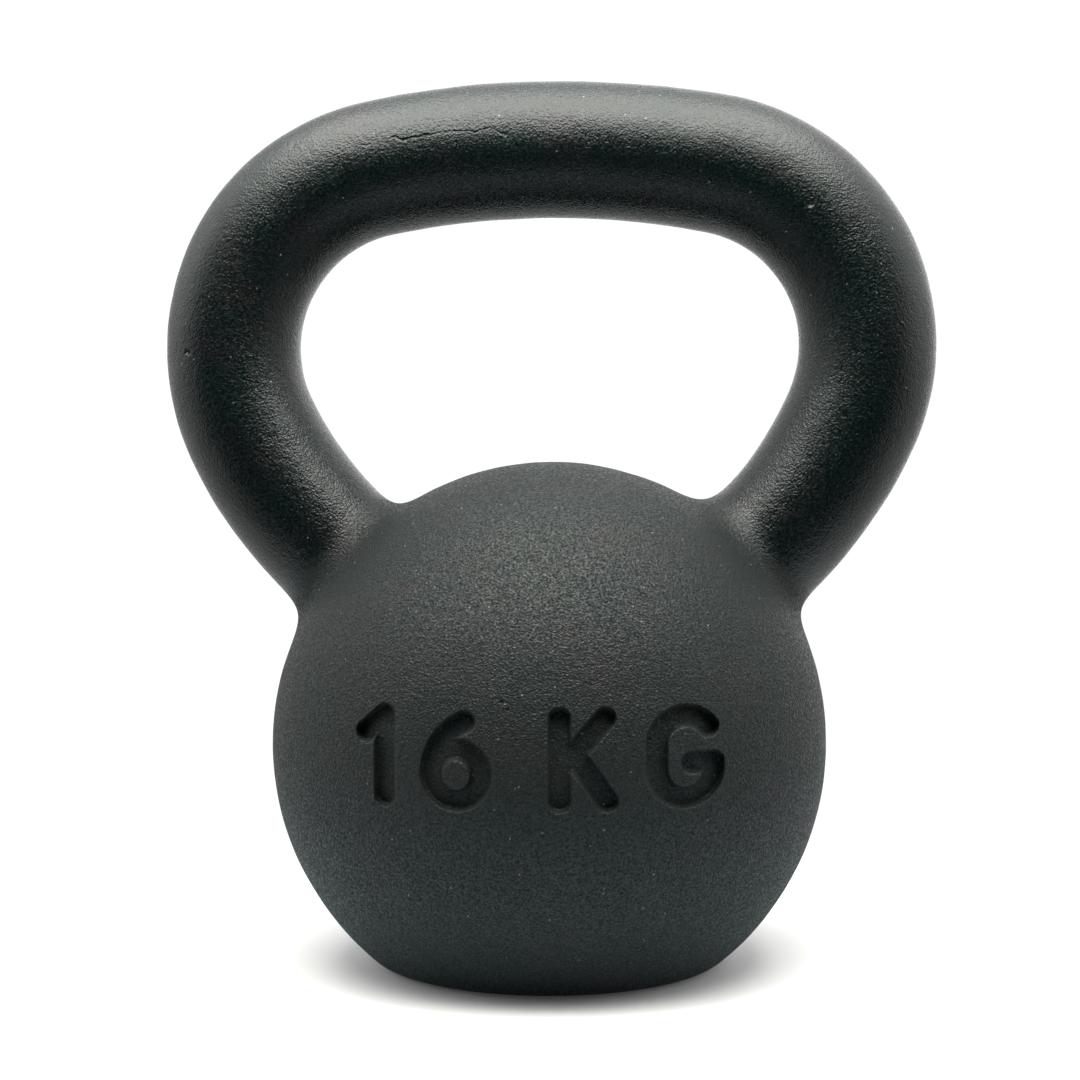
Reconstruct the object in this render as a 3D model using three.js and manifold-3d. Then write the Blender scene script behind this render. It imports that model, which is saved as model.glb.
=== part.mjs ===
// Cast-iron kettlebell, 16 kg. Millimetres, +Z up, front towards -Y.
// The origin is the centre of the flat face that it stands on.
//
// The real object is one iron casting. The casting is designed here as a whole, a ball with a
// flat foot, a bent round bar, two root fillets and a recessed weight mark, and is then divided
// at flat planes into the regions that people name: base, bell, horns, corners and grip.

import * as THREE from 'three';
import { mergeVertices } from 'three/addons/utils/BufferGeometryUtils.js';
import Module from 'manifold-3d';

// Driving dimensions: the ball.
const BELL_RADIUS = 76.2;
const BELL_CENTRE_Z = 60.9;
const CROWN_RISE = 77.2; // from the ball's centre to its top, slightly drawn up
const FOOT_EDGE_RADIUS = 2.5;

// Driving dimensions: the bar's centreline, as turned angles from the level top outwards.
const BAR_RADIUS = 18.5;
const TOP_Z = 224.2;
const ARCH_RADIUS = 237;
const ARCH_END = THREE.MathUtils.degToRad(11.4);
const CORNER_RADIUS = 50.6;
const CORNER_END = THREE.MathUtils.degToRad(114.2);
const HORN_RADIUS = 111.7;
const HORN_END = THREE.MathUtils.degToRad(137.6);
const ROOT_SUNK = 16; // how far the bar runs on into the ball
const ROOT_FILLET_RADIUS = 6;

// Driving dimensions: the recessed mark on the front.
const MARK_DEPTH = 2.5;
const MARK_STROKE = 5.6;
const MARK_HEIGHT = 20; // between stroke centrelines, so 25.6 over all
const MARK_CENTRE_Z = 65;
const LETTER_GAP = 12;
const WORD_GAP = 19;

// Where the casting is divided.
const BASE_HEIGHT = 15;
const VALLEY_X = 41.5;
const VALLEY_Z = 125.5;
const WIDEST_Z = 169.8;
const GRIP_HALF_LENGTH = ARCH_RADIUS * Math.sin(ARCH_END);
const FAR = 300; // beyond the whole casting

// How finely round shapes are divided.
const BELL_SIDES = 64;
const BELL_STEPS = 22;
const FOOT_EDGE_STEPS = 3;
const BAR_SIDES = 28;
const BAR_STEPS = 64;
const FILLET_STEPS = 5;
const STROKE_SEGMENTS = 5;
const RING_DEGREES = 359; // a ring stroke's outline stops just short of its own start
const MERGE_DISTANCE = 1e-4;

const COAT = { color: 0x1b1c1e, roughness: 0.55, metalness: 0.2 };

const wasm = await Module();
wasm.setup();

// A closed three.js geometry as a solid that can be joined and cut.
function toSolid(geometry) {
  geometry.deleteAttribute('normal');
  geometry.deleteAttribute('uv');
  const merged = mergeVertices(geometry, MERGE_DISTANCE);
  const corners = merged.index.array;
  const triangles = [];
  for (let i = 0; i < corners.length; i += 3) {
    const [a, b, c] = [corners[i], corners[i + 1], corners[i + 2]];
    if (a !== b && b !== c && c !== a) {
      triangles.push(a, b, c);
    }
  }
  const vertProperties = Float32Array.from(merged.attributes.position.array);
  const triVerts = Uint32Array.from(triangles);
  return new wasm.Manifold(new wasm.Mesh({ numProp: 3, vertProperties, triVerts }));
}

function toGeometry(solid) {
  const mesh = solid.getMesh();
  const geometry = new THREE.BufferGeometry();
  geometry.setAttribute('position', new THREE.BufferAttribute(mesh.vertProperties, mesh.numProp));
  geometry.setIndex(new THREE.BufferAttribute(mesh.triVerts, 1));
  geometry.computeVertexNormals();
  return geometry;
}

function box(x0, x1, y0, y1, z0, z1) {
  const geometry = new THREE.BoxGeometry(x1 - x0, y1 - y0, z1 - z0);
  geometry.translate((x0 + x1) / 2, (y0 + y1) / 2, (z0 + z1) / 2);
  return toSolid(geometry);
}

// The ball, turned about Z. inset moves its whole surface inwards.
function bellSolid(inset) {
  const radius = BELL_RADIUS - inset;
  const rise = CROWN_RISE - inset;
  const footAngle = -Math.asin((BELL_CENTRE_Z - FOOT_EDGE_RADIUS) / (BELL_RADIUS - FOOT_EDGE_RADIUS));
  const footRadius = (BELL_RADIUS - FOOT_EDGE_RADIUS) * Math.cos(footAngle);
  const profile = [new THREE.Vector2(0, inset)];
  const edge = FOOT_EDGE_RADIUS - Math.min(inset, FOOT_EDGE_RADIUS);
  for (let i = 0; i <= FOOT_EDGE_STEPS; i++) {
    const angle = THREE.MathUtils.lerp(-Math.PI / 2, footAngle, i / FOOT_EDGE_STEPS);
    profile.push(new THREE.Vector2(
      footRadius + edge * Math.cos(angle),
      FOOT_EDGE_RADIUS + edge * Math.sin(angle),
    ));
  }
  for (let i = 1; i < BELL_STEPS; i++) {
    const angle = THREE.MathUtils.lerp(footAngle, Math.PI / 2, i / BELL_STEPS);
    const height = angle > 0 ? rise : radius;
    profile.push(new THREE.Vector2(radius * Math.cos(angle), BELL_CENTRE_Z + height * Math.sin(angle)));
  }
  profile.push(new THREE.Vector2(0, BELL_CENTRE_Z + rise));
  return toSolid(new THREE.LatheGeometry(profile, BELL_SIDES).rotateX(Math.PI / 2));
}

// The bar's centreline, drawn in the plane Y = 0 from the left root to the right root.
// Each half is an arch, a corner and a horn, one tangent to the next, then a straight stretch
// that sinks into the ball towards its centre.
class BarCentreline extends THREE.Curve {
  constructor() {
    super();
    this.outline = new THREE.Path();
    const half = BarCentreline.halfArcs();
    const last = half[half.length - 1];
    const end = new THREE.Vector2(
      last.centre.x + last.radius * Math.sin(last.to),
      last.centre.y + last.radius * Math.cos(last.to),
    );
    const inwards = new THREE.Vector2(Math.cos(last.to), -Math.sin(last.to)).multiplyScalar(ROOT_SUNK);
    this.end = end;
    this.outline.moveTo(-end.x - inwards.x, end.y + inwards.y);
    this.outline.lineTo(-end.x, end.y);
    for (const arc of [...half].reverse()) {
      const start = Math.PI / 2 + arc.to;
      this.outline.absarc(-arc.centre.x, arc.centre.y, arc.radius, start, Math.PI / 2 + arc.from, true);
    }
    for (const arc of half) {
      const start = Math.PI / 2 - arc.from;
      this.outline.absarc(arc.centre.x, arc.centre.y, arc.radius, start, Math.PI / 2 - arc.to, true);
    }
    this.outline.lineTo(end.x + inwards.x, end.y + inwards.y);
  }

  static halfArcs() {
    const turns = [
      [ARCH_RADIUS, ARCH_END],
      [CORNER_RADIUS, CORNER_END],
      [HORN_RADIUS, HORN_END],
    ];
    const arcs = [];
    let from = 0;
    let point = new THREE.Vector2(0, TOP_Z);
    for (const [radius, to] of turns) {
      const centre = new THREE.Vector2(
        point.x - radius * Math.sin(from),
        point.y - radius * Math.cos(from),
      );
      arcs.push({ centre, radius, from, to });
      point = new THREE.Vector2(centre.x + radius * Math.sin(to), centre.y + radius * Math.cos(to));
      from = to;
    }
    return arcs;
  }

  getPoint(t, target = new THREE.Vector3()) {
    const point = this.outline.getPointAt(t);
    return target.set(point.x, 0, point.y);
  }
}

function barSolid(centreline) {
  const section = new THREE.Shape();
  section.absarc(0, 0, BAR_RADIUS, 0, 2 * Math.PI);
  return toSolid(new THREE.ExtrudeGeometry(section, {
    steps: BAR_STEPS,
    curveSegments: BAR_SIDES / 2,
    extrudePath: centreline,
  }));
}

// The fillet where a horn grows out of the ball: the path of a ball of ROOT_FILLET_RADIUS rolled
// round the joint, turned about the line from the ball's centre through the horn's root.
function rootFilletSolid(rootX, rootZ) {
  const sink = 0.3; // the fillet's foot runs out just under the ball's surface
  const lip = 0.15; // and its top ends just proud of the horn
  const depth = 4; // from the fillet's foot down to the bottom of its core
  const tuck = 1; // how much narrower the core is there
  const root = new THREE.Vector3(rootX, 0, rootZ - BELL_CENTRE_Z);
  const ballRadius = root.length() - sink;
  const rollX = BAR_RADIUS + lip + ROOT_FILLET_RADIUS;
  const rollY = Math.sqrt((ballRadius + ROOT_FILLET_RADIUS) ** 2 - rollX ** 2);
  const footAngle = Math.PI + Math.atan2(rollY, rollX);
  const footX = rollX + ROOT_FILLET_RADIUS * Math.cos(footAngle);
  const footY = rollY + ROOT_FILLET_RADIUS * Math.sin(footAngle);
  const profile = [
    new THREE.Vector2(0, footY - depth),
    new THREE.Vector2(footX - tuck, footY - depth),
  ];
  for (let i = 0; i <= FILLET_STEPS; i++) {
    const angle = THREE.MathUtils.lerp(footAngle, Math.PI, i / FILLET_STEPS);
    profile.push(new THREE.Vector2(
      rollX + ROOT_FILLET_RADIUS * Math.cos(angle),
      rollY + ROOT_FILLET_RADIUS * Math.sin(angle),
    ));
  }
  profile.push(new THREE.Vector2(0, rollY));
  const geometry = new THREE.LatheGeometry(profile, BAR_SIDES);
  const up = new THREE.Vector3(0, 1, 0);
  geometry.applyQuaternion(new THREE.Quaternion().setFromUnitVectors(up, root.normalize()));
  geometry.translate(0, 0, BELL_CENTRE_Z);
  return toSolid(geometry);
}

// One straight stroke of the mark with round ends, from (x0, z0) to (x1, z1).
function straightStroke(x0, z0, x1, z1) {
  const along = Math.atan2(z1 - z0, x1 - x0);
  const stroke = new THREE.Shape();
  stroke.absarc(x1, z1, MARK_STROKE / 2, along - Math.PI / 2, along + Math.PI / 2);
  stroke.absarc(x0, z0, MARK_STROKE / 2, along + Math.PI / 2, along + 1.5 * Math.PI);
  return [stroke, STROKE_SEGMENTS];
}

// One curved stroke with round ends, about (x, z) anticlockwise between two angles in degrees.
function curvedStroke(x, z, radius, fromDegrees, toDegrees) {
  const from = THREE.MathUtils.degToRad(fromDegrees);
  const to = THREE.MathUtils.degToRad(toDegrees);
  const half = MARK_STROKE / 2;
  const endX = x + radius * Math.cos(to);
  const endZ = z + radius * Math.sin(to);
  const startX = x + radius * Math.cos(from);
  const startZ = z + radius * Math.sin(from);
  const stroke = new THREE.Shape();
  stroke.absarc(x, z, radius + half, from, to);
  stroke.absarc(endX, endZ, half, to, to + Math.PI);
  stroke.absarc(x, z, radius - half, to, from, true);
  stroke.absarc(startX, startZ, half, from + Math.PI, from + 2 * Math.PI);
  return [stroke, STROKE_SEGMENTS];
}

// The glyphs of the mark. Each has a width and its strokes, from its own lower left corner.
const H = MARK_HEIGHT;
const GLYPHS = {
  one: {
    width: 5,
    strokes: [straightStroke(5, 0, 5, H), straightStroke(0, H - 4.5, 5, H)],
  },
  six: {
    width: 12.4,
    strokes: [
      curvedStroke(6.2, 6.2, 6.2, 0, RING_DEGREES),
      curvedStroke(14.2, 6.2, 14.2, 115, 180),
    ],
  },
  k: {
    width: 11.5,
    strokes: [
      straightStroke(0, 0, 0, H),
      straightStroke(0, 7.5, 11, H),
      straightStroke(3.6, 11.2, 11.5, 0),
    ],
  },
  g: {
    width: 14,
    strokes: [
      curvedStroke(7, H - 7, 7, 35, 180),
      straightStroke(0, 7, 0, H - 7),
      curvedStroke(7, 7, 7, 180, 360),
      straightStroke(14, 7, 14, 8.5),
      straightStroke(14, 8.5, 8.5, 8.5),
    ],
  },
};

// The mark's strokes cut straight in from the front, down to a floor at MARK_DEPTH that follows
// the ball.
function markCutter() {
  const clearance = 2; // the strokes start this far in front of the ball
  const line = [['one', LETTER_GAP], ['six', WORD_GAP], ['k', LETTER_GAP], ['g', 0]];
  const width = line.reduce((sum, [name, gap]) => sum + GLYPHS[name].width + gap, 0);
  let x = -width / 2;
  const strokes = [];
  for (const [name, gap] of line) {
    for (const [shape, curveSegments] of GLYPHS[name].strokes) {
      const geometry = new THREE.ExtrudeGeometry(shape, {
        depth: BELL_RADIUS / 2,
        curveSegments,
        bevelEnabled: false,
      });
      geometry.translate(x, -MARK_HEIGHT / 2, BELL_RADIUS / 2 + clearance);
      geometry.rotateX(Math.PI / 2);
      geometry.translate(0, 0, MARK_CENTRE_Z);
      strokes.push(toSolid(geometry));
    }
    x += GLYPHS[name].width + gap;
  }
  const joined = strokes.reduce((all, stroke) => all.add(stroke));
  return joined.subtract(bellSolid(MARK_DEPTH));
}

function castingSolid() {
  const centreline = new BarCentreline();
  const { x, y: z } = centreline.end;
  return bellSolid(0)
    .add(barSolid(centreline))
    .add(rootFilletSolid(x, z))
    .add(rootFilletSolid(-x, z))
    .subtract(markCutter());
}

// The regions of the casting, each the space of one or two boxes. They meet at flat planes.
function regionSolids() {
  const sides = (name, x0, x1, z0, z1) => [
    [`left_${name}`, [box(-x1, -x0, -FAR, FAR, z0, z1)]],
    [`right_${name}`, [box(x0, x1, -FAR, FAR, z0, z1)]],
  ];
  return [
    ['base', [box(-FAR, FAR, -FAR, FAR, -FAR, BASE_HEIGHT)]],
    ['bell', [
      box(-FAR, FAR, -FAR, FAR, BASE_HEIGHT, VALLEY_Z),
      box(-VALLEY_X, VALLEY_X, -FAR, FAR, VALLEY_Z, WIDEST_Z),
    ]],
    ...sides('horn', VALLEY_X, FAR, VALLEY_Z, WIDEST_Z),
    ...sides('corner', GRIP_HALF_LENGTH, FAR, WIDEST_Z, FAR),
    ['grip', [box(-GRIP_HALF_LENGTH, GRIP_HALF_LENGTH, -FAR, FAR, WIDEST_Z, FAR)]],
  ];
}

const kettlebell = new THREE.Group();
const casting = castingSolid();
for (const [name, boxes] of regionSolids()) {
  const region = boxes.reduce((all, part) => all.add(part));
  const mesh = new THREE.Mesh(
    toGeometry(casting.intersect(region)),
    new THREE.MeshStandardMaterial(COAT),
  );
  mesh.name = name;
  kettlebell.add(mesh);
}

export default kettlebell;
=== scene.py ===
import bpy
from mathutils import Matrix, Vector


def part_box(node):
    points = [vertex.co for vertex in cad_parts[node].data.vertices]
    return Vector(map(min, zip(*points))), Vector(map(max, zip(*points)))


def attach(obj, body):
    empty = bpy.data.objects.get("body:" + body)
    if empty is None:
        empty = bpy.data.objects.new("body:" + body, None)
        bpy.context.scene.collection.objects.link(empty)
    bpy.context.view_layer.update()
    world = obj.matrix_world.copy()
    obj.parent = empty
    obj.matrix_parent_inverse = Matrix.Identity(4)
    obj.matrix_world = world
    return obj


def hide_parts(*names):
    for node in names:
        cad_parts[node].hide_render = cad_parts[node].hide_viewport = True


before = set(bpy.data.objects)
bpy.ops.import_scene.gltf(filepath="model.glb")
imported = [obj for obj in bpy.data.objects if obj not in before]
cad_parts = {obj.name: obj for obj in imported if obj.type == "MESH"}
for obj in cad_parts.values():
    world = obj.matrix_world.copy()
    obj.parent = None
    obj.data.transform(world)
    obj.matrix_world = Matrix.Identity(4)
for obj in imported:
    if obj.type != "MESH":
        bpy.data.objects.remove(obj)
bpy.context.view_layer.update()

import math

import bmesh
import bpy
import numpy as np
from mathutils import Quaternion, Vector

# Lengths are in metres. The frame gives the places; the radii that it can't give are named here.
MM = 0.001

# The ball and its foot.
BELL_RADIUS = (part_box("bell")[1].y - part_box("bell")[0].y) / 2
BELL_CENTRE_Z = 60.9 * MM
CROWN_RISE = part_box("bell")[1].z - BELL_CENTRE_Z
FOOT_EDGE_RADIUS = 2.5 * MM

# The bar: its turns from the level top outwards, each a radius and the angle that it ends at.
BAR_RADIUS = (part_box("grip")[1].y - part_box("grip")[0].y) / 2
BAR_SWELL = 0.05 * MM
TOP_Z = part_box("grip")[1].z - BAR_RADIUS
TURNS = [(237 * MM, math.radians(11.4)), (50.6 * MM, math.radians(114.2)),
         (111.7 * MM, math.radians(137.6))]
ROOT_SUNK = 16 * MM
# How far the fillets between bar and ball reach on each side: under the window and outside it.
LEFT_FILLET = (9.5 * MM, 12 * MM)
RIGHT_FILLET = (12.5 * MM, 10.5 * MM)

# The casting isn't quite even: the horns are a little stouter than the top and stand out, the
# right side of the top sits higher, and the crown leans.
LEFT_HORN = (0.2 * MM, 0.4 * MM)  # how far it stands out, and how much stouter it is
RIGHT_HORN = (0.15 * MM, 0.15 * MM)
RIGHT_CORNER_OUT = 0.3 * MM
RIGHT_TOP = (0.2 * MM, 0.2 * MM)  # how much higher it sits, and how much stouter it is
CROWN_LEAN = 1.0 * MM

# The flat planes between the regions of the casting.
BASE_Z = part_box("base")[1].z
VALLEY_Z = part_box("left_horn")[0].z
VALLEY_X = 41.5 * MM
WIDEST_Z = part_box("left_horn")[1].z
GRIP_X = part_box("grip")[1].x
PLANES = [(2, BASE_Z), (2, VALLEY_Z), (2, WIDEST_Z)]
PLANES += [(0, side * place) for side in (-1, 1) for place in (VALLEY_X, GRIP_X)]

# The recessed mark.
MARK_DEPTH = 2.5 * MM
MARK_STROKE = 5.6 * MM
MARK_HEIGHT = 20 * MM
MARK_CENTRE_Z = 65 * MM
LETTER_GAP = 12 * MM
WORD_GAP = 19 * MM
MARK_EDGE = (0.2 * MM, -0.85 * MM)  # where a stroke's wall starts and where it reaches the floor

# A cold-shut line along the bar's front, as points (x, z) in millimetres.
SEAM = [(-56, 220.5), (-48, 223), (-40, 225.2), (-38, 224.2), (-28, 226.2), (-18.5, 226.2),
        (-14.5, 227.3), (-10.5, 225.4)]
SEAM_REACH = 0.45 * MM
SEAM_DEPTH = 0.3 * MM
SEAM_WANDER = (1.7 * MM, 0.5 * MM)  # the size of its small bends, and how far they stray
SEAM_BREAKS = 4 * MM  # the size of its gaps
SEAM_FADE = (-0.35, 0.3)  # the part of the gaps' noise over which it comes in

# Pits in the front of the casting: x, z, reach and depth in millimetres.
PITS = [(-97, 168, 1.3, 0.7), (70.5, 206, 1.1, 0.5), (-8.5, 79, 0.8, 0.6), (-7, 77.2, 0.6, 0.5),
        (27, 69.5, 0.7, 0.5), (-28.5, 134.6, 0.9, 0.5)]

# The sand-cast surface's waves: the size of one wave and its height.
WAVES = [(26 * MM, 0.16 * MM), (10 * MM, 0.08 * MM), (4.5 * MM, 0.05 * MM)]
CALM_FOOT = 3 * MM  # the waves come in over this height, so that the foot stays flat
NOISE_CELLS = 32

# The mesh: its step, and how finely it is divided again near the mark and the flaws.
MESH_STEP = 1.2 * MM
MARK_MARGIN = 1.4 * MM
MARK_CUTS = 3
FLAW_CUTS = 4
IN_PLANE = 0.02 * MM  # a corner this near to a cutting plane counts as in it

# The powder coat. A noise has a scale, in waves to a metre, a detail and a roughness.
BALL_ROUGHNESS = 0.68
HANDLE_ROUGHNESS = 0.29
ROUGHNESS_SPREAD = 0.45  # how far the roughness strays from grain to grain, as a share of it
ROUGHNESS_NOISE = (1700, 1, 0.5)
NOISE_RANGE = (0.3, 0.7)  # nearly all of a noise's values lie between these
REFLECTION = 0.4
PEEL_NOISE = (700, 2, 0.55)
PEEL_HEIGHT = 0.16 * MM
GRAIN_NOISE = (1900, 1, 0.6)
GRAIN_HEIGHT = 0.36 * MM
HANDLE_GRAIN = 0.6  # how high the grain is on the handle, as a share of the ball's
HANDLED = (1 * MM, 9 * MM)  # the handle's finish comes in between these distances off the ball
MOTTLE_NOISE = (55, 3, 0.5)
TINTS = [
    (0.35, (0.0006, 0.0052, 0.0047)),
    (0.5, (0.0014, 0.0052, 0.0050)),
    (0.65, (0.0042, 0.0050, 0.0056)),
]
SPECK_SCALE = 220  # how many cells to a metre may each hold one speck of dust
SPECK_EDGE = (0.04, 0.065)  # a speck fades out between these shares of a cell
SPECK_COLOUR = (0.14, 0.135, 0.125, 1)

WHITE = (1, 1, 1, 1)
MIX_A, MIX_B, MIX_RESULT = 6, 7, 2  # the sockets of a Mix node that hold colours

# The floor gives less light back to the object than it shows to the camera.
FLOOR_RADIUS = 0.6
FLOOR_SIDES = 96
FLOOR_FADE = (0.12, 0.25)  # the floor runs out into the tent between these distances
FLOOR_COLOUR = (0.9, 0.9, 0.9, 1)
FLOOR_BOUNCE = (0.54, 0.64, 0.66, 1)
FLOOR_ROUGHNESS = 0.9
FLOOR_REFLECTION = 0.1
FLOOR_GLOW = 0.03

# The soft boxes: name, place, the point that each faces, its sides and its radiance.
LIGHT_COLOUR = (1.0, 1.0, 0.94)
LIGHTS = [
    ("overhead", (0, -0.09, 0.45), (0, -0.04, 0.12), (0.5, 0.30), 7.0),
    ("overhead_front", (0, -0.14, 0.39), (0, -0.07, 0.12), (0.45, 0.14), 2.6),
    ("high_front", (0, -0.285, 0.485), (0, -0.04, 0.10), (0.5, 0.16), 3.7),
]

# The tent: a direction, how far round from it the light goes out and is full, and its strength.
TENT = [
    ((0, 1, 0), -0.5, -0.1, 0.78),
    ((-0.8, 0.0, 0.6), 0.72, 1.0, 1.3),
    ((0.8, 0.0, 0.6), 0.72, 1.0, 1.1),
    ((0.2, 0.91, 0.37), 0.72, 1.0, 1.0),
]
BACKDROP_STRENGTH = 1.05  # the tent as the camera sees it, just past white

# The camera looks from a little right of the front, about level with the top of the ball.
CAMERA_DISTANCE = 0.5635
CAMERA_HEIGHT = 0.1298
CAMERA_AZIMUTH = math.radians(2.3)
CAMERA_LENS = 67.76
AIM = Vector((-2.4 * MM, 0, 0.1165))
CAMERA_ROLL = math.radians(0.15)


# ---- the camera

def make_camera():
    data = bpy.data.cameras.new("camera")
    data.lens = CAMERA_LENS
    data.sensor_width = 36
    data.clip_start = 0.01
    camera = bpy.data.objects.new("camera", data)
    camera.location = (
        CAMERA_DISTANCE * math.sin(CAMERA_AZIMUTH),
        -CAMERA_DISTANCE * math.cos(CAMERA_AZIMUTH),
        CAMERA_HEIGHT,
    )
    turn = (AIM - camera.location).to_track_quat("-Z", "Y")
    camera.rotation_euler = (turn @ Quaternion((0, 0, 1), -CAMERA_ROLL)).to_euler()
    bpy.context.scene.collection.objects.link(camera)
    bpy.context.scene.camera = camera


# ---- the casting's shape, as fields of distance that are negative inside the iron

def smoothstep(low, high, value):
    t = np.clip((value - low) / (high - low), 0, 1)
    return t * t * (3 - 2 * t)


def soft_union(a, b, reach):
    """The union of two fields with a fillet that eases in where they are within reach."""
    near = np.maximum(reach - np.abs(a - b), 0) / reach
    return np.minimum(a, b) - reach * near ** 3 / 6


def round_intersection(a, b, radius):
    """The intersection of two fields with a rounded edge between them."""
    past = np.hypot(np.maximum(radius + a, 0), np.maximum(radius + b, 0))
    return np.minimum(-radius, np.maximum(a, b)) + past


def bell_field(p):
    x, y, z = p.T
    x = x - CROWN_LEAN * smoothstep(BELL_CENTRE_Z, BELL_CENTRE_Z + CROWN_RISE, z)
    rise = z - BELL_CENTRE_Z
    rise = np.where(rise > 0, rise * BELL_RADIUS / CROWN_RISE, rise)
    ball = np.sqrt(x * x + y * y + rise * rise) - BELL_RADIUS
    return round_intersection(ball, -z, FOOT_EDGE_RADIUS)


def bar_arcs():
    """The right half of the bar's centreline: each arc's centre, radius and end angles."""
    arcs = []
    start = 0.0
    point = np.array([0.0, TOP_Z])
    for radius, end in TURNS:
        centre = point - radius * np.array([math.sin(start), math.cos(start)])
        arcs.append((centre, radius, start, end))
        point = centre + radius * np.array([math.sin(end), math.cos(end)])
        start = end
    return arcs, point


ARCS, ROOT = bar_arcs()
ROOT_ANGLE = TURNS[-1][1]
ROOT_INWARDS = np.array([math.cos(ROOT_ANGLE), -math.sin(ROOT_ANGLE)])
ROOT_TO_WINDOW = -np.array([math.sin(ROOT_ANGLE), math.cos(ROOT_ANGLE)])


def bar_field(p):
    x, y, z = np.abs(p[:, 0]), p[:, 1], p[:, 2]
    left = p[:, 0] < 0
    off_centre = smoothstep(VALLEY_X / 2, GRIP_X, x)
    low = smoothstep(WIDEST_Z, VALLEY_Z, z)
    right_out = RIGHT_CORNER_OUT + (RIGHT_HORN[0] - RIGHT_CORNER_OUT) * low
    x = x - off_centre * np.where(left, LEFT_HORN[0] * low, right_out)
    right_top = np.where(left, 0, smoothstep(0, GRIP_X, x) * (1 - low))
    z = z - RIGHT_TOP[0] * right_top
    stouter = low * np.where(left, LEFT_HORN[1], RIGHT_HORN[1]) + RIGHT_TOP[1] * right_top
    along = (x - ROOT[0]) * ROOT_INWARDS[0] + (z - ROOT[1]) * ROOT_INWARDS[1]
    along = np.clip(along, 0, ROOT_SUNK)
    near = np.hypot(x - ROOT[0] - along * ROOT_INWARDS[0], z - ROOT[1] - along * ROOT_INWARDS[1])
    turned = np.full(len(p), ROOT_ANGLE)
    for centre, radius, start, end in ARCS:
        angle = np.clip(np.arctan2(x - centre[0], z - centre[1]), start, end)
        apart = np.hypot(
            x - centre[0] - radius * np.sin(angle),
            z - centre[1] - radius * np.cos(angle),
        )
        closer = apart < near
        near = np.where(closer, apart, near)
        turned = np.where(closer, angle, turned)
    return np.hypot(near, y) - (BAR_RADIUS + BAR_SWELL * np.cos(2 * turned) + stouter)


def body_field(p):
    """The ball and the bar, joined by fillets that are wider under the window."""
    x, z = np.abs(p[:, 0]), p[:, 2]
    side = (x - ROOT[0]) * ROOT_TO_WINDOW[0] + (z - ROOT[1]) * ROOT_TO_WINDOW[1]
    share = np.clip(side / BAR_RADIUS, -1, 1) / 2 + 0.5
    left = p[:, 0] < 0
    window = np.where(left, LEFT_FILLET[0], RIGHT_FILLET[0])
    outside = np.where(left, LEFT_FILLET[1], RIGHT_FILLET[1])
    return soft_union(bell_field(p), bar_field(p), outside + (window - outside) * share)


# ---- the mark, as a flat field of distance to its strokes

def straight(x0, z0, x1, z1):
    """Distance to a straight stroke's centreline, in millimetres from the glyph's corner."""
    a = np.array([x0, z0]) * MM
    d = np.array([x1, z1]) * MM - a

    def distance(x, z):
        t = np.clip(((x - a[0]) * d[0] + (z - a[1]) * d[1]) / (d @ d), 0, 1)
        return np.hypot(x - a[0] - t * d[0], z - a[1] - t * d[1])

    return distance


def curved(x0, z0, radius, start, end):
    """Distance to a curved stroke's centreline, anticlockwise between two angles in degrees."""
    centre = np.array([x0, z0]) * MM
    radius = radius * MM
    start, end = math.radians(start), math.radians(end)

    def distance(x, z):
        middle = (start + end) / 2
        angle = np.arctan2(z - centre[1], x - centre[0])
        off = (angle - middle + math.pi) % (2 * math.pi) - math.pi
        angle = middle + np.clip(off, start - middle, end - middle)
        return np.hypot(
            x - centre[0] - radius * np.cos(angle),
            z - centre[1] - radius * np.sin(angle),
        )

    return distance


# Each glyph's width and strokes, in millimetres from its lower left corner.
H = MARK_HEIGHT / MM
GLYPHS = {
    "one": (5, [straight(5, 0, 5, H), straight(0, H - 4.5, 5, H)]),
    "six": (12.4, [curved(6.2, 6.2, 6.2, 0, 360), curved(14.2, 6.2, 14.2, 115, 180)]),
    "k": (11.5, [straight(0, 0, 0, H), straight(0, 7.5, 11, H), straight(3.6, 11.2, 11.5, 0)]),
    "g": (14, [
        curved(7, H - 7, 7, 35, 180),
        straight(0, 7, 0, H - 7),
        curved(7, 7, 7, 180, 360),
        straight(14, 7, 14, 8.5),
        straight(14, 8.5, 8.5, 8.5),
    ]),
}
MARK = [("one", LETTER_GAP), ("six", WORD_GAP), ("k", LETTER_GAP), ("g", 0)]


def mark_field(p):
    """Distance to the edge of the mark's strokes seen from the front, negative inside them."""
    x = p[:, 0] + sum(GLYPHS[name][0] * MM + gap for name, gap in MARK) / 2
    z = p[:, 2] - MARK_CENTRE_Z + MARK_HEIGHT / 2
    near = np.full(len(p), np.inf)
    for name, gap in MARK:
        width, strokes = GLYPHS[name]
        for distance in strokes:
            near = np.minimum(near, distance(x, z))
        x = x - width * MM - gap
    return np.where(p[:, 1] < 0, near - MARK_STROKE / 2, np.inf)


# ---- the surface's height over that shape

NOISE = np.random.default_rng(7).uniform(-1, 1, (NOISE_CELLS,) * 3)


def waves(p, size):
    """Smooth noise from -1 to 1 with features of about that size."""
    q = p / size
    cell = np.floor(q).astype(int)
    f = q - cell
    f = f * f * (3 - 2 * f)
    total = np.zeros(len(p))
    for corner in np.ndindex(2, 2, 2):
        weight = np.prod(np.where(corner, f, 1 - f), axis=1)
        i, j, k = ((cell + corner) % NOISE_CELLS).T
        total += weight * NOISE[i, j, k]
    return total


def seam_field(p):
    """Distance to the cold-shut line seen from the front."""
    near = np.full(len(p), np.inf)
    size, stray = SEAM_WANDER
    z = p[:, 2] + stray * waves(p, size)
    for start, end in zip(SEAM, SEAM[1:]):
        near = np.minimum(near, straight(*start, *end)(p[:, 0], z))
    return np.where(p[:, 1] < 0, near, np.inf)


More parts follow.
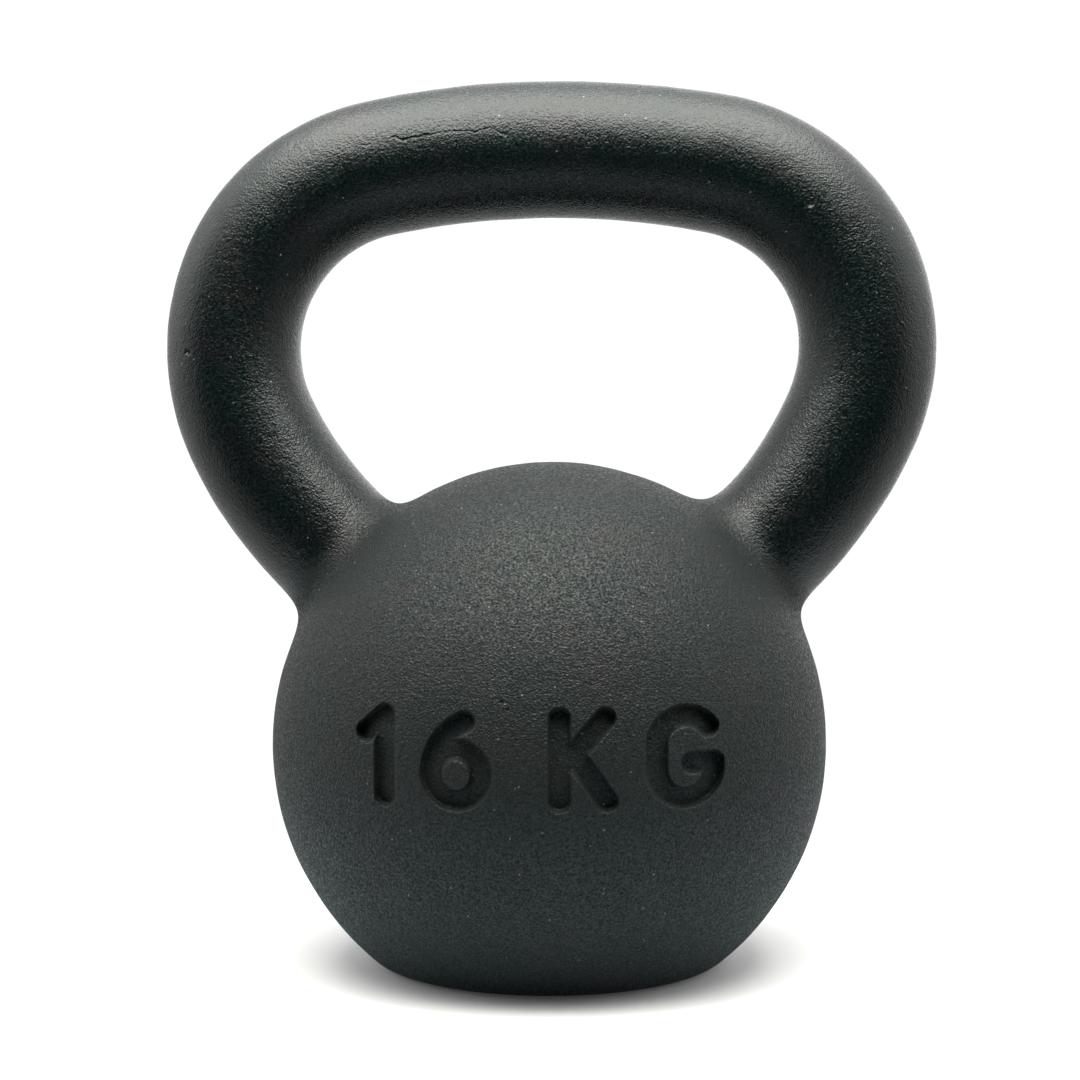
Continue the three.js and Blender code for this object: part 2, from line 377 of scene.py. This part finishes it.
def flaws(p):
    """How far the cold-shut line and the pits go into the iron."""
    broken = smoothstep(*SEAM_FADE, waves(p, SEAM_BREAKS))
    depth = SEAM_DEPTH * broken * smoothstep(SEAM_REACH, 0, seam_field(p))
    for x, z, reach, deep in PITS:
        near = np.hypot(p[:, 0] - x * MM, p[:, 2] - z * MM)
        near = np.where(p[:, 1] < 0, near, np.inf)
        depth = np.maximum(depth, deep * MM * smoothstep(reach * MM, 0, near))
    return depth


def height(p):
    swell = sum(rise * waves(p, size) for size, rise in WAVES)
    swell = swell * smoothstep(0, CALM_FOOT, p[:, 2]) - flaws(p)
    return swell - MARK_DEPTH * smoothstep(*MARK_EDGE, mark_field(p))


def surface_field(p):
    return body_field(p) - height(p)


def gradient(field, p, step=0.02 * MM):
    """The field's slope along each axis."""
    columns = []
    for axis in np.eye(3) * step:
        columns.append((field(p + axis) - field(p - axis)) / (2 * step))
    return np.stack(columns, axis=1)


def settle(p, field, direction=None, rounds=5):
    """Moves points onto a field's surface, straight out or along one direction.

    The body's slope stands for the field's. Where it is slight, steps are held short.
    """
    for _ in range(rounds):
        g = gradient(body_field, p)
        if direction is None:
            squared = np.maximum((g * g).sum(1), 0.2)
            p = p - g * (field(p) / squared)[:, None]
        else:
            slope = g @ direction
            slope = np.where(np.abs(slope) < 0.3, -0.3, slope)
            p = p - direction * (field(p) / slope)[:, None]
    return p


# ---- the mesh

def ring_solid(bm, rings):
    """A closed skin over rings of points, with a flat face at each end."""
    made = [[bm.verts.new(co) for co in ring] for ring in rings]
    for below, above in zip(made, made[1:]):
        for i in range(len(below)):
            j = (i + 1) % len(below)
            bm.faces.new((below[i], below[j], above[j], above[i]))
    bm.faces.new(reversed(made[0]))
    bm.faces.new(made[-1])


def bell_rings(sides=96, rows=60):
    rings = []
    low = -math.asin(BELL_CENTRE_Z / BELL_RADIUS)
    high = math.pi / 2 - 0.01  # just short of the pole, where a ring would be a point
    for row in range(rows):
        angle = low + (high - low) * row / (rows - 1)
        radius = BELL_RADIUS * math.cos(angle)
        rise = CROWN_RISE if angle > 0 else BELL_RADIUS
        z = BELL_CENTRE_Z + rise * math.sin(angle)
        turn = [2 * math.pi * i / sides for i in range(sides)]
        rings.append([(radius * math.cos(a), radius * math.sin(a), z) for a in turn])
    return rings


def bar_rings(sides=48, step=2.5 * MM):
    half = []
    for centre, radius, start, end in ARCS:
        count = max(2, round(radius * (end - start) / step))
        for i in range(count):
            angle = start + (end - start) * i / count
            out = np.array([math.sin(angle), math.cos(angle)])
            half.append((centre + radius * out, out))
    out = np.array([math.sin(ROOT_ANGLE), math.cos(ROOT_ANGLE)])
    half.append((ROOT, out))
    half.append((ROOT + ROOT_INWARDS * ROOT_SUNK, out))
    mirrored = [(point * (-1, 1), out * (-1, 1)) for point, out in half[:0:-1]]
    rings = []
    for point, out in mirrored + half:
        ring = []
        for i in range(sides):
            a = 2 * math.pi * i / sides
            x, z = point + BAR_RADIUS * math.cos(a) * out
            ring.append((x, -BAR_RADIUS * math.sin(a), z))
        rings.append(ring)
    return rings


def fused_mesh():
    """The ball and the bar as one even skin."""
    bm = bmesh.new()
    ring_solid(bm, bell_rings())
    ring_solid(bm, bar_rings())
    bmesh.ops.recalc_face_normals(bm, faces=bm.faces)
    mesh = bpy.data.meshes.new("skin")
    bm.to_mesh(mesh)
    bm.free()
    skin = bpy.data.objects.new("skin", mesh)
    bpy.context.scene.collection.objects.link(skin)
    remesh = skin.modifiers.new("even", "REMESH")
    remesh.mode = "VOXEL"
    remesh.voxel_size = MESH_STEP
    bpy.context.view_layer.update()
    evaluated = skin.evaluated_get(bpy.context.evaluated_depsgraph_get())
    even = bpy.data.meshes.new_from_object(evaluated)
    bpy.data.objects.remove(skin)
    return even


def points_of(verts):
    return np.array([v.co for v in verts], float).reshape(-1, 3)


def put(verts, points):
    for v, co in zip(verts, points):
        v.co = co


FRONT = np.array([0.0, -1.0, 0.0])


def refine(bm, chosen, cuts):
    """Divides the faces whose corners are chosen, and puts the new corners on the body."""
    before = set(bm.verts)
    faces = [f for f in bm.faces if any(chosen[v.index] for v in f.verts)]
    edges = list({e for f in faces for e in f.edges})
    bmesh.ops.subdivide_edges(bm, edges=edges, cuts=cuts, use_grid_fill=True)
    new = [v for v in bm.verts if v not in before]
    put(new, settle(points_of(new), body_field))
    bm.verts.index_update()


def flawed(p):
    """Which points lie near a flaw that isn't in the mark."""
    near = seam_field(p)
    for x, z, reach, _ in PITS:
        off = np.hypot(p[:, 0] - x * MM, p[:, 2] - z * MM) - reach * MM
        near = np.minimum(near, np.where(p[:, 1] < 0, off, np.inf))
    return (near < MESH_STEP) & (mark_field(p) > 2 * MARK_MARGIN)


def casting_mesh():
    bm = bmesh.new()
    even = fused_mesh()
    bm.from_mesh(even)
    bpy.data.meshes.remove(even)
    bm.verts.ensure_lookup_table()
    put(bm.verts, settle(points_of(bm.verts), body_field))
    refine(bm, mark_field(points_of(bm.verts)) < MARK_MARGIN, MARK_CUTS)
    refine(bm, flawed(points_of(bm.verts)), FLAW_CUTS)
    points = points_of(bm.verts)
    marked = mark_field(points) < 2 * MARK_MARGIN
    points[marked] = settle(points[marked], surface_field, FRONT, rounds=8)
    points[~marked] = settle(points[~marked], surface_field)
    put(bm.verts, points)
    return bm


# ---- the regions of the casting

def cut_at(bm, axis, place, above=None):
    """Cuts the mesh along a plane across an axis, only above a height if one is given."""
    faces = bm.faces if above is None else [
        f for f in bm.faces if f.calc_center_median().z > above
    ]
    geom = list({g for f in faces for g in (*f.verts, *f.edges)}) + list(faces)
    co = [0, 0, 0]
    no = [0, 0, 0]
    co[axis] = place
    no[axis] = 1
    bmesh.ops.bisect_plane(bm, geom=geom, dist=IN_PLANE, plane_co=co, plane_no=no)


def region_of(centre):
    x, z = centre.x, centre.z
    side = "left" if x < 0 else "right"
    if z < BASE_Z:
        return "base"
    if z < VALLEY_Z or (z < WIDEST_Z and abs(x) < VALLEY_X):
        return "bell"
    if z < WIDEST_Z:
        return side + "_horn"
    return side + "_corner" if abs(x) > GRIP_X else "grip"


def cutting_plane(a, b):
    """The cutting plane, as an axis and a place, that lies nearest to both ends of an edge."""
    return min(PLANES, key=lambda plane: max(abs(v.co[plane[0]] - plane[1]) for v in (a, b)))


def open_loops(bm):
    """The corners of each open edge loop, in order."""
    waiting = {e for e in bm.edges if e.is_boundary}
    while waiting:
        edge = waiting.pop()
        loop = [edge.verts[0], edge.verts[1]]
        while True:
            onward = [e for e in loop[-1].link_edges if e in waiting]
            if not onward:
                break
            waiting.remove(onward[0])
            loop.append(onward[0].other_vert(loop[-1]))
        yield loop[:-1]


def cap(bm):
    """Closes each open edge loop with flat faces, one for each plane that the loop lies in."""
    caps = []
    for loop in list(open_loops(bm)):
        planes = [cutting_plane(a, b) for a, b in zip(loop, loop[1:] + loop[:1])]
        turns = [i for i in range(len(loop)) if planes[i] != planes[i - 1]]
        if not turns:
            caps.append(bm.faces.new(loop))
        for start, end in zip(turns, turns[1:] + turns[:1]):
            count = (end - start) % len(loop) + 1
            caps.append(bm.faces.new([loop[(start + i) % len(loop)] for i in range(count)]))
    bmesh.ops.recalc_face_normals(bm, faces=bm.faces)
    return caps


def make_piece(name, part, coat):
    """One region of the casting as a closed piece that stands for its node."""
    caps = cap(part)
    for face in part.faces:
        face.smooth = True
    for face in caps:
        face.smooth = False
    part.normal_update()
    mesh = bpy.data.meshes.new("cast_" + name)
    part.to_mesh(mesh)
    set_normals(mesh)
    mesh.materials.append(coat)
    piece = bpy.data.objects.new("cast_" + name, mesh)
    bpy.context.scene.collection.objects.link(piece)
    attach(piece, "root")
    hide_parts(name)


def make_pieces(coat):
    bm = casting_mesh()
    for place in (BASE_Z, VALLEY_Z, WIDEST_Z):
        cut_at(bm, 2, place)
    for side in (-1, 1):
        cut_at(bm, 0, side * VALLEY_X, above=VALLEY_Z)
        cut_at(bm, 0, side * GRIP_X, above=WIDEST_Z)
    kinds = [region_of(f.calc_center_median()) for f in bm.faces]
    for name in sorted(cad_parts):
        part = bm.copy()
        part.faces.ensure_lookup_table()
        others = [f for f, kind in zip(part.faces, kinds) if kind != name]
        bmesh.ops.delete(part, geom=others, context="FACES")
        make_piece(name, part, coat)
        part.free()
    bm.free()


def set_normals(mesh):
    """Shades the skin with the surface's own normals, so that no seam shows between regions."""
    count = len(mesh.vertices)
    points = np.zeros(count * 3)
    mesh.vertices.foreach_get("co", points)
    out = gradient(surface_field, points.reshape(-1, 3), 0.05 * MM)
    out /= np.linalg.norm(out, axis=1)[:, None]
    corner = np.zeros(len(mesh.loops), int)
    mesh.loops.foreach_get("vertex_index", corner)
    normals = out[corner]
    for face in mesh.polygons:
        if not face.use_smooth:
            normals[face.loop_start:face.loop_start + face.loop_total] = face.normal
    mesh.normals_split_custom_set(normals)


# ---- the powder coat, which hands have smoothed on the handle

def coat_material():
    material = bpy.data.materials.new("black_powder_coat")
    material.use_nodes = True
    nodes = material.node_tree.nodes
    links = material.node_tree.links
    nodes.clear()

    def node(kind, **values):
        """A node with values for its settings or, where it has no such setting, its sockets."""
        made = nodes.new(kind)
        for key, value in values.items():
            if hasattr(made, key):
                setattr(made, key, value)
            else:
                made.inputs[key.replace("_", " ")].default_value = value
        return made

    place = node("ShaderNodeTexCoord").outputs["Object"]
    from_ball = node("ShaderNodeVectorMath", operation="DISTANCE")
    from_ball.inputs[1].default_value = (0, 0, BELL_CENTRE_Z)
    links.new(place, from_ball.inputs[0])

    def noise(scale, detail, roughness):
        made = node("ShaderNodeTexNoise", Scale=scale, Detail=detail, Roughness=roughness)
        links.new(place, made.inputs["Vector"])
        return made.outputs["Fac"]

    def eased(value, start, end, low, high, **values):
        """A value that goes from low to high as another goes from start to end."""
        made = node("ShaderNodeMapRange", **values)
        made.inputs["From Min"].default_value = start
        made.inputs["From Max"].default_value = end
        made.inputs["To Min"].default_value = low
        made.inputs["To Max"].default_value = high
        links.new(value, made.inputs["Value"])
        return made.outputs["Result"]

    def worn(on_ball, on_handle):
        """A value that eases from the ball's to the handle's."""
        start, end = (BELL_RADIUS + out for out in HANDLED)
        distance = from_ball.outputs["Value"]
        return eased(distance, start, end, on_ball, on_handle, interpolation_type="SMOOTHSTEP")

    def colour():
        """The black coat's teal and purplish mottling, with specks of dust on it."""
        tint = node("ShaderNodeValToRGB")
        elements = tint.color_ramp.elements
        for element, (position, rgb) in zip(elements, (TINTS[0], TINTS[-1])):
            element.position = position
            element.color = (*rgb, 1)
        for position, rgb in TINTS[1:-1]:
            elements.new(position).color = (*rgb, 1)
        links.new(noise(*MOTTLE_NOISE), tint.inputs["Fac"])
        cells = node("ShaderNodeTexVoronoi", Scale=SPECK_SCALE)
        links.new(place, cells.inputs["Vector"])
        dusted = node("ShaderNodeMix", data_type="RGBA")
        links.new(eased(cells.outputs["Distance"], *SPECK_EDGE, 1, 0), dusted.inputs[0])
        links.new(tint.outputs["Color"], dusted.inputs[MIX_A])
        dusted.inputs[MIX_B].default_value = SPECK_COLOUR
        return dusted.outputs[MIX_RESULT]

    def roughness():
        """A roughness that strays from grain to grain, and is less on the handle."""
        low, high = 1 - ROUGHNESS_SPREAD, 1 + ROUGHNESS_SPREAD
        rough = node("ShaderNodeMath", operation="MULTIPLY")
        links.new(worn(BALL_ROUGHNESS, HANDLE_ROUGHNESS), rough.inputs[0])
        stray = eased(noise(*ROUGHNESS_NOISE), *NOISE_RANGE, low, high)
        links.new(stray, rough.inputs[1])
        return rough.outputs["Value"]

    def bumps():
        """Orange peel with the grain on it, which is lower on the handle."""
        peel = node("ShaderNodeBump", Strength=1.0, Distance=PEEL_HEIGHT)
        links.new(noise(*PEEL_NOISE), peel.inputs["Height"])
        grain = node("ShaderNodeBump", Distance=GRAIN_HEIGHT)
        links.new(worn(1.0, HANDLE_GRAIN), grain.inputs["Strength"])
        links.new(noise(*GRAIN_NOISE), grain.inputs["Height"])
        links.new(peel.outputs["Normal"], grain.inputs["Normal"])
        return grain.outputs["Normal"]

    shader = node("ShaderNodeBsdfPrincipled")
    shader.inputs["Specular IOR Level"].default_value = REFLECTION
    links.new(colour(), shader.inputs["Base Color"])
    links.new(roughness(), shader.inputs["Roughness"])
    links.new(bumps(), shader.inputs["Normal"])
    output = node("ShaderNodeOutputMaterial")
    links.new(shader.outputs["BSDF"], output.inputs["Surface"])
    return material


# ---- the studio

def floor_material():
    """White where it is looked at, greyer for the light that it gives back, and faded far out."""
    material = bpy.data.materials.new("pale_floor")
    material.use_nodes = True
    nodes = material.node_tree.nodes
    links = material.node_tree.links
    shader = nodes["Principled BSDF"]
    shader.inputs["Roughness"].default_value = FLOOR_ROUGHNESS
    shader.inputs["Specular IOR Level"].default_value = FLOOR_REFLECTION
    shader.inputs["Emission Color"].default_value = WHITE
    shader.inputs["Emission Strength"].default_value = FLOOR_GLOW
    path = nodes.new("ShaderNodeLightPath")
    colour = nodes.new("ShaderNodeMix")
    colour.data_type = "RGBA"
    colour.inputs[MIX_A].default_value = FLOOR_BOUNCE
    colour.inputs[MIX_B].default_value = FLOOR_COLOUR
    links.new(path.outputs["Is Camera Ray"], colour.inputs[0])
    links.new(colour.outputs[MIX_RESULT], shader.inputs["Base Color"])
    place = nodes.new("ShaderNodeTexCoord")
    distance = nodes.new("ShaderNodeVectorMath")
    distance.operation = "LENGTH"
    links.new(place.outputs["Object"], distance.inputs[0])
    fade = nodes.new("ShaderNodeMapRange")
    fade.interpolation_type = "SMOOTHSTEP"
    fade.inputs["From Min"].default_value = FLOOR_FADE[0]
    fade.inputs["From Max"].default_value = FLOOR_FADE[1]
    fade.inputs["To Min"].default_value = 1.0
    fade.inputs["To Max"].default_value = 0.0
    links.new(distance.outputs["Value"], fade.inputs["Value"])
    links.new(fade.outputs["Result"], shader.inputs["Alpha"])
    return material


def make_floor():
    mesh = bpy.data.meshes.new("floor")
    turn = [2 * math.pi * i / FLOOR_SIDES for i in range(FLOOR_SIDES)]
    rim = [(FLOOR_RADIUS * math.cos(a), FLOOR_RADIUS * math.sin(a), 0) for a in turn]
    mesh.from_pydata(rim, [], [tuple(range(FLOOR_SIDES))])
    mesh.materials.append(floor_material())
    floor = bpy.data.objects.new("floor", mesh)
    bpy.context.scene.collection.objects.link(floor)


def make_light(name, location, target, size, radiance):
    data = bpy.data.lights.new(name, "AREA")
    data.shape = "RECTANGLE"
    data.size, data.size_y = size
    data.energy = radiance * math.pi * size[0] * size[1]
    data.color = LIGHT_COLOUR
    light = bpy.data.objects.new(name, data)
    light.location = location
    light.rotation_euler = (Vector(target) - Vector(location)).to_track_quat("-Z", "Y").to_euler()
    light.visible_camera = False
    bpy.context.scene.collection.objects.link(light)


def make_world():
    """A white tent round the object that is open, and so dark, towards the front."""
    world = bpy.data.worlds.new("tent")
    bpy.context.scene.world = world
    world.use_nodes = True
    nodes = world.node_tree.nodes
    links = world.node_tree.links
    nodes.clear()
    place = nodes.new("ShaderNodeTexCoord")

    def glow(direction, dark, bright, strength):
        """A strength that rises as the way looked turns towards a direction."""
        towards = nodes.new("ShaderNodeVectorMath")
        towards.operation = "DOT_PRODUCT"
        towards.inputs[1].default_value = direction
        links.new(place.outputs["Generated"], towards.inputs[0])
        share = nodes.new("ShaderNodeMapRange")
        share.interpolation_type = "SMOOTHSTEP"
        share.inputs["From Min"].default_value = dark
        share.inputs["From Max"].default_value = bright
        share.inputs["To Max"].default_value = strength
        links.new(towards.outputs["Value"], share.inputs["Value"])
        return share.outputs["Result"]

    total = glow(*TENT[0])
    for patch in TENT[1:]:
        both = nodes.new("ShaderNodeMath")
        both.operation = "ADD"
        links.new(total, both.inputs[0])
        links.new(glow(*patch), both.inputs[1])
        total = both.outputs["Value"]
    tent = nodes.new("ShaderNodeBackground")
    tent.inputs["Color"].default_value = WHITE
    links.new(total, tent.inputs["Strength"])
    seen = nodes.new("ShaderNodeBackground")
    seen.inputs["Color"].default_value = WHITE
    seen.inputs["Strength"].default_value = BACKDROP_STRENGTH
    path = nodes.new("ShaderNodeLightPath")
    mix = nodes.new("ShaderNodeMixShader")
    links.new(path.outputs["Is Camera Ray"], mix.inputs["Fac"])
    links.new(tent.outputs["Background"], mix.inputs[1])
    links.new(seen.outputs["Background"], mix.inputs[2])
    output = nodes.new("ShaderNodeOutputWorld")
    links.new(mix.outputs["Shader"], output.inputs["Surface"])


def make_studio():
    make_floor()
    make_world()
    for light in LIGHTS:
        make_light(*light)
    bpy.context.scene.view_settings.view_transform = "Standard"


make_camera()
make_pieces(coat_material())
make_studio()
